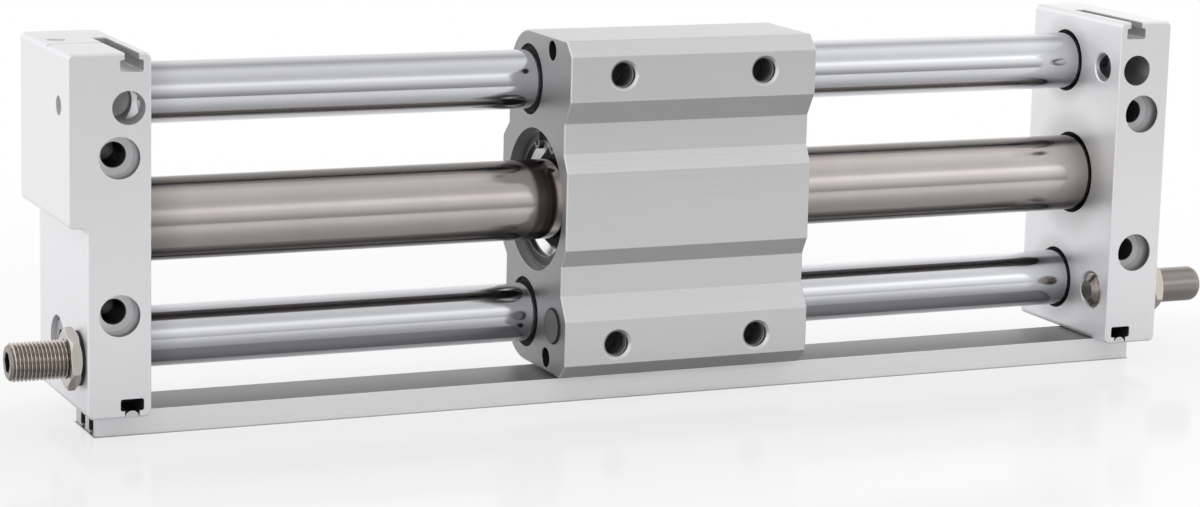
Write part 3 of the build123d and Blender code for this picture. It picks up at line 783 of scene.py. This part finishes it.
# Painted shade on the stop pads' rims, on the retainer's outer part inside the bore, on the slot nuts'
# bodies in the T-slots and in the rail's two grooves
PAD_PAINTED_SHADES = (RingPaintedShade(5.0 * MM, 0.95, inner=4.45 * MM, aside=BOLT_Y, above=TUBE_Z - BOLT_Z),)
RETAINER_PAINTED_SHADES = (RingPaintedShade(18.0 * MM, 0.85, inner=15.9 * MM),)
SLOT_NUT_PAINTED_SHADES = (SlotPaintedShade(SLOT_X, SLOT_HALF, low=8.0 * MM, high=11.4 * MM),)
RAIL_PAINTED_SHADES = tuple(
    SlotPaintedShade(y, 2.05 * MM, low=0.8 * MM, high=3.95 * MM, along_x=True) for y in (-11.7 * MM, -4.1 * MM)
)

METALS = (
    BlastedAluminium(
        "plate_aluminium", (0.85, 0.85, 0.86), metallic=0.72, roughness=0.4, grain=1500.0,
        grain_depth=8e-6, mottle=0.012, edge_radius=0.2e-3, edge_wear_and_highlight=0.8, painted_shades=PLATE_PAINTED_SHADES,
    ),
    ExtrudedAluminium(
        "slide_aluminium", (0.68, 0.68, 0.68), metallic=0.85, roughness=0.4, grain=1300.0,
        grain_depth=7e-6, mottle=0.02, edge_radius=0.35e-3, edge_wear_and_highlight=0.6, painted_shades=SLIDE_PAINTED_SHADES,
        # darker ends, and painted shade on faces that point down
        end_shade=0.48, downward_painted_shade=0.66,
    ),
    ExtrudedAluminium(
        "rail_aluminium", (0.93, 0.93, 0.94), metallic=0.6, roughness=0.4, grain=1300.0,
        grain_depth=7e-6, mottle=0.02, edge_wear_and_highlight=0.6, painted_shades=RAIL_PAINTED_SHADES,
        # darker ends, and painted shade on the top face, which lies under the shafts and the slide
        end_shade=0.8, top_painted_shade=0.34,
    ),
    TurnedMetal("holder_aluminium", (0.80, 0.80, 0.81), roughness=0.2),
    TurnedMetal("sleeve_aluminium", (0.76, 0.76, 0.78)),
    TurnedMetal("piston_aluminium", (0.78, 0.78, 0.80)),
    RoundBarFinish(
        "tube_stainless", (0.57, 0.525, 0.50), roughness=0.15, smear=0.08,
        # painted shade on the tube's top and underside
        warm=(0.50, 0.44, 0.40), warm_share=0.35, crown_painted_shade=0.75, foot_painted_shade=0.85,
    ),
    RoundBarFinish("guide_chrome", (0.71, 0.715, 0.74), roughness=0.12, mottle=0.03, smear=0.05),
    ThreadedSteel("bolt_steel", (0.58, 0.52, 0.475), roughness=0.24, grain=1200.0),
    Finish(
        "nut_steel", (0.56, 0.525, 0.485), roughness=0.15, grain=1000.0, grain_depth=3e-6,
        mottle=0.08, edge_radius=0.3e-3, edge_wear_and_highlight=0.8,
    ),
    Finish(
        "screw_steel", (0.42, 0.42, 0.44), roughness=0.34, grain=1000.0, grain_depth=5e-6, mottle=0.08
    ),
    Finish(
        "slot_nut_steel", (0.70, 0.70, 0.71), roughness=0.42, grain_depth=6e-6, mottle=0.08,
        painted_shades=SLOT_NUT_PAINTED_SHADES,
    ),
    Finish(
        "ball_steel", (0.72, 0.72, 0.74), roughness=0.2, grain=700.0, grain_depth=2e-6, mottle=0.04
    ),
    Finish(
        "retainer_steel", (0.16, 0.15, 0.145), metallic=0.8, roughness=0.35, grain=2200.0,
        grain_depth=12e-6, mottle=0.2, edge_wear_and_highlight=0.7, painted_shades=RETAINER_PAINTED_SHADES,
    ),
    Finish("yoke_iron", (0.5, 0.5, 0.5), roughness=0.35),
    Finish("magnet_nickel", (0.66, 0.65, 0.62), roughness=0.25),
    Finish(
        "bush_bronze", (0.6, 0.44, 0.26), roughness=0.45, grain=1800.0, grain_depth=10e-6, mottle=0.12
    ),
)
SOFT_GRAIN = {
    "metallic": 0.0, "grain": 1500.0, "grain_depth": 8e-6, "edge_radius": 0.2e-3, "edge_wear_and_highlight": 0.3
}
PLASTICS = (
    Finish("black_rubber", (0.01,) * 3, roughness=0.7, mottle=0.2, specular=0.2, **SOFT_GRAIN),
    Finish("washer_rubber", (0.015,) * 3, roughness=0.65, mottle=0.2, specular=0.3, **SOFT_GRAIN),
    Finish(
        "stop_urethane", (0.15, 0.15, 0.155), roughness=0.5, mottle=0.15, specular=0.3,
        painted_shades=PAD_PAINTED_SHADES, **SOFT_GRAIN,
    ),
    Finish("wear_resin", (0.86, 0.84, 0.78), 0.0, roughness=0.45, grain_depth=5e-6, mottle=0.03),
)
FINISHES = {finish.slot: finish for finish in METALS + PLASTICS}


# Surfaces

SHARP_FROM = math.radians(38)


def oriented(points: np.ndarray, faces: np.ndarray) -> np.ndarray:
    """Faces of a closed surface, turned so that they point outwards.

    The signed volume is the sum, over the faces, of the triple product of their first three
    corners; where it is negative the order of every face's corners is reversed.

    Args:
        points: corners, one row each.
        faces: corner numbers, four to a face.

    Returns:
        The faces.
    """
    first, second, third, fourth = (points[faces[:, k]] for k in range(4))
    volume = np.einsum("ij,ij->i", first, np.cross(second, third)).sum()
    volume += np.einsum("ij,ij->i", first, np.cross(third, fourth)).sum()
    return faces if volume > 0 else faces[:, ::-1]


def closed_grid(rows: np.ndarray) -> tuple[np.ndarray, np.ndarray]:
    """Closed surface through rows of points, each row a loop.

    Every row joins the next by quads, round the loop. The first and the last row are closed by a
    fan to their middle, the mean of the row, whose quads have that pole as two corners.

    Args:
        rows: rows by columns by three.

    Returns:
        Points and faces, four corners each; a fan's faces repeat their pole.
    """
    count, around = rows.shape[:2]
    points = np.vstack([rows.reshape(-1, 3), rows[0].mean(axis=0), rows[-1].mean(axis=0)])
    row, column = np.meshgrid(np.arange(count - 1), np.arange(around), indexing="ij")
    beside = (column + 1) % around
    near, ahead = row * around, (row + 1) * around
    corners = [near + column, near + beside, ahead + beside, ahead + column]
    quads = np.stack(corners, axis=-1).reshape(-1, 4)
    loop = np.arange(around)
    following = (loop + 1) % around
    low = np.full(around, count * around)
    high = low + 1
    last = (count - 1) * around
    start_fan = np.stack([following, loop, low, low], axis=-1)
    end_fan = np.stack([last + loop, last + following, high, high], axis=-1)
    return points, oriented(points, np.vstack([quads, start_fan, end_fan]))


def make_piece(
    name: str, parts: list[tuple[np.ndarray, np.ndarray]], body: str, finish: Finish
) -> bpy.types.Object:
    """Puts surfaces into one object that rides on a body.

    Args:
        name: the object's name.
        parts: points and faces of each closed surface.
        body: the body that it rides on.
        finish: its finish.

    Returns:
        The object, at the origin.
    """
    starts = np.cumsum([0] + [len(points) for points, _ in parts])
    points = np.vstack([points for points, _ in parts])
    quads = np.vstack([faces + start for (_, faces), start in zip(parts, starts)])
    fan = quads[:, 2] == quads[:, 3]
    turned_fan = quads[:, 0] == quads[:, 1]
    faces = quads[~fan & ~turned_fan].tolist()
    faces += quads[fan][:, :3].tolist() + quads[turned_fan][:, 1:].tolist()
    mesh = bpy.data.meshes.new(name)
    mesh.from_pydata(points.tolist(), [], faces)
    mesh.update()
    mesh.shade_smooth()
    mesh.set_sharp_from_angle(angle=SHARP_FROM)
    piece = bpy.data.objects.new(name, mesh)
    bpy.context.scene.collection.objects.link(piece)
    mesh.materials.append(finish.material())
    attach(piece, body)
    return piece


def thread_height(turns: np.ndarray, root_share: float, crest_share: float) -> np.ndarray:
    """Height of a screw thread, from 0 at the root to 1 at the crest.

    A triangle wave of the turns, 1 at whole turns and 0 between them, stretched and cut off so that
    root and crest are flat over their shares of the pitch.

    Args:
        turns: how many pitches along, less the angle as a share of a full turn.
        root_share: flat share of the pitch at the root.
        crest_share: flat share at the crest.

    Returns:
        The heights.
    """
    wave = np.abs(2 * (turns % 1.0) - 1)
    return np.clip((wave - root_share) / (1 - root_share - crest_share), 0, 1)


def helical_ridge(
    centre: Vector, radius: float, depth: float, pitch: float, run: float, per_turn: int = 36
) -> tuple[np.ndarray, np.ndarray]:
    """Ridge of an internal thread, in a hole along Y.

    Its path is a helix on the hole's wall, and its cross-section a triangle whose base is just
    inside the wall and whose point stands inwards by the thread's depth. The triangle shrinks to
    nothing over the first and last half turn.

    Args:
        centre: where the thread begins, on the hole's axis; it runs towards +Y.
        radius: the hole's radius.
        depth: how far the ridge stands in.
        pitch: the advance for each turn.
        run: the thread's length.
        per_turn: points for each turn.

    Returns:
        Points and faces.
    """
    sunk = -0.04 * MM
    base, tip = 0.42 * pitch, 0.06 * pitch
    turns = run / pitch - 1
    path = np.linspace(0, turns, int(turns * per_turn) + 1)
    taper = np.clip(np.minimum(path, turns - path) * 2, 0.02, 1)
    angle = path * FULL_TURN
    inwards = np.array([sunk, sunk, depth, depth])
    along = np.array([-base, base, tip, -tip])
    out = radius - np.where(inwards < 0, inwards, inwards * taper[:, None])
    y = centre.y + (path[:, None] + 0.5) * pitch + along * taper[:, None]
    x = centre.x + out * np.cos(angle)[:, None]
    z = centre.z + out * np.sin(angle)[:, None]
    return closed_grid(np.stack([x, y, z], axis=-1))


# Sub-assemblies


@dataclass
class SubAssembly:
    """A group of CAD nodes that are dressed together, and the pieces that are built for them."""

    finishes: dict[str, str]

    def dress(self) -> int:
        """Gives each CAD node its finish.

        Returns:
            How many nodes were dressed.
        """
        for node, slot in self.finishes.items():
            for material_slot in frame["nodes"][node].material_slots:
                material_slot.material = FINISHES[slot].material()
            LOG.info("%s wears %s", node, slot)
        return len(self.finishes)

    def build(self) -> list[bpy.types.Object]:
        """Builds the pieces that the group adds; a plain group adds none."""
        return []


class BoltEnd(Enum):
    """How the outer end of an adjusting bolt is made."""

    SOCKET = "hexagon socket"
    DOME = "smooth dome"


@dataclass
class AdjustingBolt:
    """A stroke adjusting bolt: one surface of revolution whose radius also follows a helix."""

    side: int
    end: BoltEnd
    inner_x: float
    outer_x: float
    crest: float = 5.0 * MM
    depth: float = 0.6 * MM
    pitch: float = 1.0 * MM
    root_share: float = 0.2
    crest_share: float = 0.1
    nose_radius: float = 2.8 * MM
    nose_length: float = 1.9 * MM
    end_step: float = 0.3 * MM
    socket_flats: float = 5.0 * MM
    socket_depth: float = 5.0 * MM
    socket_lip: float = 0.15 * MM
    drill_share: float = 0.6
    dome: float = 2.6 * MM
    dome_rows: int = 15
    dome_clear: float = 0.1 * MM
    plain_from: float = 161.1 * MM
    rows_per_turn: int = 14
    columns: int = 72

    def thread_radius(self, along: np.ndarray, angle: np.ndarray) -> np.ndarray:
        """Radius of the bolt at each distance from the middle and angle.

        The thread's own radius, kept under an envelope: a cone down to the nose at the inner end,
        and at the outer end a chamfer or a quarter circle.

        Args:
            along: distance from the middle of the cylinder, one for each row.
            angle: angle about the bolt's axis, one for each column.

        Returns:
            Radii, rows by columns.
        """
        turns = along[:, None] / self.pitch - self.side * angle[None, :] / FULL_TURN
        height = thread_height(turns, self.root_share, self.crest_share)
        radius = self.crest - self.depth * (1 - height)
        slope = (self.crest - self.nose_radius) / self.nose_length
        nose = self.nose_radius + (along - self.inner_x) * slope
        if self.end is BoltEnd.SOCKET:
            tail = self.crest - self.depth - self.end_step + (self.outer_x - along)
        else:
            reach = np.clip((along - (self.outer_x - self.dome)) / self.dome, 0, 1)
            tail = self.crest - self.dome * (1 - np.sqrt(1 - reach**2))
            smooth = (along >= self.plain_from)[:, None]
            radius = np.where(smooth, self.crest, radius)
        return np.minimum(radius, np.minimum(nose, tail)[:, None])

    def build(self, name: str, body: str) -> bpy.types.Object:
        """Builds the bolt and hides its CAD node.

        Args:
            name: the piece's name, which is also its CAD node's.
            body: the body that it rides on.

        Returns:
            The bolt.
        """
        angle = np.arange(self.columns) / self.columns * FULL_TURN
        steps = int((self.outer_x - self.inner_x) / self.pitch * self.rows_per_turn)
        along = np.linspace(self.inner_x, self.outer_x, steps)
        if self.end is BoltEnd.DOME:
            start = self.outer_x - self.dome
            bend = start + self.dome * np.sin(np.linspace(0, math.pi / 2, self.dome_rows + 1)[1:])
            along = np.concatenate([along[along < start - self.dome_clear], [start], bend])
        radius = self.thread_radius(along, angle)
        if self.end is BoltEnd.SOCKET:
            hexagon = self.socket_flats / 2 / np.cos(angle % (FULL_TURN / 6) - FULL_TURN / 12)
            bottom = self.outer_x - self.socket_depth
            rows = [
                (self.outer_x, hexagon + self.socket_lip),
                (self.outer_x - self.socket_lip, hexagon),
                (bottom, hexagon),
                (bottom, hexagon * self.drill_share),
            ]
            along = np.concatenate([along, [x for x, _ in rows]])
            radius = np.vstack([radius] + [ring for _, ring in rows])
        x = np.repeat(along[:, None] * self.side, self.columns, axis=1)
        y = BOLT_Y + radius * np.cos(angle)
        z = BOLT_Z + radius * np.sin(angle)
        surface = closed_grid(np.stack([x, y, z], axis=-1))
        piece = make_piece(name, [surface], body, FINISHES["bolt_steel"])
        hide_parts(name)
        return piece


@dataclass
class StrokeAdjusters(SubAssembly):
    """Both adjusting bolts with their lock nuts and washers."""

    left_reach: float = 175.8 * MM
    right_reach: float = 176.1 * MM
    nose_x: float = 139.5 * MM

    def build(self) -> list[bpy.types.Object]:
        """Builds the two bolts.

        Returns:
            The bolts.
        """
        left = AdjustingBolt(-1, BoltEnd.SOCKET, self.nose_x, self.left_reach)
        right = AdjustingBolt(1, BoltEnd.DOME, self.nose_x, self.right_reach)
        return [
            left.build("adjusting_bolt_left", "adjuster_left"),
            right.build("adjusting_bolt_right", "adjuster_right"),
        ]


@dataclass(frozen=True)
class HoleThreads:
    """Threads in four holes along Y, at the corners of a rectangle."""

    middle_x: float
    half_x: float
    half_z: float
    start_y: float
    radius: float
    depth: float
    run: float
    pitch: float = 1.25 * MM

    def build(self, name: str, body: str, finish: Finish) -> bpy.types.Object:
        """Builds the four threads as one piece.

        Args:
            name: the piece's name.
            body: the body that it rides on.
            finish: its finish.

        Returns:
            The piece.
        """
        ridges = []
        for side in (-1, 1):
            for up in (-1, 1):
                x = self.middle_x + side * self.half_x
                start = Vector((x, self.start_y, TUBE_Z + up * self.half_z))
                ridges.append(helical_ridge(start, self.radius, self.depth, self.pitch, self.run))
        return make_piece(name, ridges, body, finish)


@dataclass
class EndPlates(SubAssembly):
    """Both end plates, with what is pressed or screwed into them."""

    threads: HoleThreads = HoleThreads(
        0.0, BASE_HOLE_X, BASE_HOLE_UP,
        start_y=-17.1 * MM, radius=3.3 * MM, depth=0.25 * MM, run=12.5 * MM,
    )

    def build(self) -> list[bpy.types.Object]:
        """Builds the threads in the base holes.

        Returns:
            The threads.
        """
        return [self.threads.build("base_hole_threads", "frame", FINISHES["plate_aluminium"])]


@dataclass
class SlideBlock(SubAssembly):
    """The slide block with its scrapers, bushes and stop pads."""

    threads: HoleThreads = HoleThreads(
        SLIDE_X, LOAD_HOLE_X, LOAD_HOLE_UP,
        start_y=-22.6 * MM, radius=3.4 * MM, depth=0.3 * MM, run=9.2 * MM,
    )

    def build(self) -> list[bpy.types.Object]:
        """Builds the threads in the four load holes.

        Returns:
            The threads.
        """
        return [self.threads.build("load_hole_threads", "slider", FINISHES["slide_aluminium"])]


# Brightness of the room at angles about X, in degrees from the horizon in front, over the top
PANELS = (
    (-180, 1.0), (-40, 0.5), (-16, 0.28), (-5, 0.46), (9, 0.8), (16, 0.9), (21, 1.12), (29, 1.12),
    (35, 0.74), (48, 0.68), (60, 0.76), (82, 0.88), (94, 0.7), (108, 0.5), (124, 0.68), (138, 0.88),
    (180, 1.0),
)


@dataclass
class Studio:
    """Camera, surroundings and floor."""

    eye: Triple = (-0.374827, -0.8177612, 0.2080945)
    yaw: float = math.radians(24.1793)
    pitch: float = math.radians(10.8224)
    roll: float = math.radians(1.469)
    lens: float = 100.258
    lamp_peak: float = 1.3
    right_boost: float = 0.45
    right_zone: Pair = (0.35, 0.65)
    left_wall: Colour = (0.93, 0.93, 0.94)
    left_zone: Pair = (0.1, 0.5)
    floor_x: Pair = (-4.0, 5.0)
    floor_y: Pair = (-0.25, 6.0)
    body_half: Pair = (0.16, 0.02)
    rail_half: Pair = (0.1535, 0.0091)
    rail_y: float = -0.0065
    # width of the painted contact shadow round the rail's foot
    contact_shadow_width: float = 0.0008
    # floor colour close to the cylinder, a painted shade
    near_painted_shade: Colour = (0.55, 0.55, 0.555)
    far_paint: Colour = (0.86, 0.86, 0.865)
    # colour of the painted contact shadow
    contact_painted_shadow: Colour = (0.05, 0.05, 0.05)
    # how far the painted shade reaches from the cylinder, and behind it
    shade_reach: float = 0.11
    back_reach: float = 0.05
    far_zone: Pair = (0.07, 0.4)
    floor_roughness: float = 0.12
    gloss_share: float = 0.9
    contact_gloss: float = 0.2
    near_glow: float = 0.7

    def place_camera(self) -> None:
        """Sets the camera at the photograph's place.

        It is rolled about its own axis, tipped down from the horizon by the pitch, and turned from
        +Y towards +X by the yaw.
        """
        data = bpy.data.cameras.new("studio_camera")
        data.sensor_fit = "HORIZONTAL"
        data.sensor_width = 36.0
        data.lens = self.lens
        data.clip_start = 0.01
        data.clip_end = 50.0
        camera = bpy.data.objects.new("studio_camera", data)
        tipped = Matrix.Rotation(math.pi / 2 - self.pitch, 4, "X") @ Matrix.Rotation(self.roll, 4, "Z")
        turned = Matrix.Rotation(-self.yaw, 4, "Z") @ tipped
        camera.matrix_world = Matrix.Translation(self.eye) @ turned
        bpy.context.scene.collection.objects.link(camera)
        bpy.context.scene.camera = camera

    def surround(self) -> None:
        """Lights the room by soft panels round the cylinder's axis, and shows the camera white.

        The panels are a ramp over the angle about X. Towards +X they get brighter, and towards -X
        they fade into one pale wall.
        """
        world = bpy.data.worlds.new("studio")
        bpy.context.scene.world = world
        tree = ShaderTree.start(world)
        x, y, z = tree.place("Generated")
        about = tree.maths("ARCTAN2", z, -y) / FULL_TURN + 0.5
        stops = [(0.5 + angle / 360, (value / self.lamp_peak,) * 3) for angle, value in PANELS]
        ramp = tree.add("ShaderNodeValToRGB", {"stops": stops}, {"Fac": about})
        right = x.smooth(*self.right_zone)
        left = (-x).smooth(*self.left_zone)
        shown = tree.blend(left, ramp.outputs[0], self.left_wall)
        strength = (right * self.right_boost + 1.0) * self.lamp_peak
        room = tree.add("ShaderNodeBackground", values={"Color": shown, "Strength": strength})
        white = tree.add("ShaderNodeBackground", values={"Color": WHITE, "Strength": 1.0})
        seen = tree.signal("ShaderNodeLightPath", "Is Camera Ray")
        pair = {0: seen, 1: room.outputs[0], 2: white.outputs[0]}
        mixed = tree.add("ShaderNodeMixShader", values=pair)
        tree.add("ShaderNodeOutputWorld", values={"Surface": mixed.outputs[0]})

    def lay_floor(self) -> None:
        """Lays a plain pale floor with a soft shadow, a faint mirror image and a dark line of painted
        contact shadow.

        Close to the cylinder it is painted darker, as painted shade, and takes light and shade. Away
        from it, it fades into white, for the camera and in mirror images alike.
        """
        (left, right), (front, back) = self.floor_x, self.floor_y
        corners = [(left, front, 0.0), (right, front, 0.0), (right, back, 0.0), (left, back, 0.0)]
        mesh = bpy.data.meshes.new("studio_floor")
        mesh.from_pydata(corners, [], [(0, 1, 2, 3)])
        floor = bpy.data.objects.new("studio_floor", mesh)
        bpy.context.scene.collection.objects.link(floor)
        material = bpy.data.materials.new("pale_floor")
        tree = ShaderTree.start(material)
        x, y, _ = tree.place()
        beside = tree.maths("MAXIMUM", abs(x) - self.body_half[0], 0.0)
        ahead = tree.maths("MAXIMUM", abs(y) - self.body_half[1], 0.0)
        off = length(beside, ahead)
        along_y = abs(y - self.rail_y) - self.rail_half[1]
        rail = tree.maths("MAXIMUM", abs(x) - self.rail_half[0], along_y)
        clear = rail.between(0.0, self.contact_shadow_width)
        behind = y.smooth(0.0, self.back_reach)
        open_air = tree.maths("MAXIMUM", off.smooth(0.0, self.shade_reach), behind)
        # painted shade close to the cylinder, and a painted contact shadow at the rail's foot
        pale = tree.blend(open_air, self.near_painted_shade, self.far_paint)
        laid = tree.blend(clear, self.contact_painted_shadow, pale)
        paint = tree.add("ShaderNodeBsdfDiffuse", values={"Color": laid})
        gloss = {"Color": WHITE, "Roughness": self.floor_roughness}
        sheen = tree.add("ShaderNodeBsdfGlossy", values=gloss)
        fresnel = tree.signal("ShaderNodeFresnel", "Fac", {"IOR": 1.45})
        coat = fresnel * self.gloss_share * (self.contact_gloss + (1 - self.contact_gloss) * clear)
        pair = {0: coat, 1: paint.outputs[0], 2: sheen.outputs[0]}
        coated = tree.add("ShaderNodeMixShader", values=pair)
        white = tree.add("ShaderNodeEmission", values={"Color": WHITE, "Strength": 1.0})
        path = tree.add("ShaderNodeLightPath")
        seen, glossy, through = (
            Signal(tree, path.outputs[f"Is {kind} Ray"]) for kind in ("Camera", "Glossy", "Transmission")
        )
        far = off.smooth(*self.far_zone)
        share = (seen + glossy + through) * far + seen * (1.0 - far) * self.near_glow * clear
        pair = {0: share, 1: coated.outputs[0], 2: white.outputs[0]}
        mixed = tree.add("ShaderNodeMixShader", values=pair)
        tree.add("ShaderNodeOutputMaterial", values={"Surface": mixed.outputs[0]})
        mesh.materials.append(material)


def node_slots() -> dict[str, str]:
    """The material slot of each CAD node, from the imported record."""
    return {part["node"]: part["material_slot"] for part in frame["record"]["subparts"]}


def pick(slots: dict[str, str], *starts: str) -> dict[str, str]:
    """The nodes whose names begin with one of the given words.

    Args:
        slots: the slot of each node.
        starts: the words.

    Returns:
        Those nodes with their slots.
    """
    return {node: slot for node, slot in slots.items() if node.startswith(starts)}


def main() -> None:
    """Builds the studio and dresses the cylinder, group by group."""
    logging.basicConfig(level=logging.INFO, format="%(name)s: %(message)s")
    bpy.context.scene.view_settings.view_transform = "Standard"
    studio = Studio()
    studio.place_camera()
    studio.surround()
    studio.lay_floor()
    slots = node_slots()
    groups = [
        EndPlates(
            pick(slots, "end_plate", "shaft_passage", "tube_passage", "guide_set", "guide_shaft_screws")
        ),
        SubAssembly(pick(slots, "cylinder_tube", "guide_shaft_upper", "guide_shaft_lower")),
        SubAssembly(pick(slots, "tube_end", "guide_upper", "guide_lower", "switch_rail", "rail_")),
        StrokeAdjusters(pick(slots, "adjusting", "lock_")),
        SlideBlock(pick(slots, "slide_block", "stop_pad", "guide_bushes", "guide_scrapers", "scraper_")),
        SubAssembly(pick(slots, "magnet_", "outer_", "switch_magnet", "tube_scrapers", "tube_wear")),
        SubAssembly(pick(slots, "piston", "inner_")),
    ]
    dressed = 0
    for group in groups:
        dressed += group.dress()
        for piece in group.build():
            LOG.info("%s: %d faces", piece.name, len(piece.data.polygons))
    LOG.info("%d of %d nodes dressed", dressed, len(frame["nodes"]))


if __name__ == "__main__":
    main()
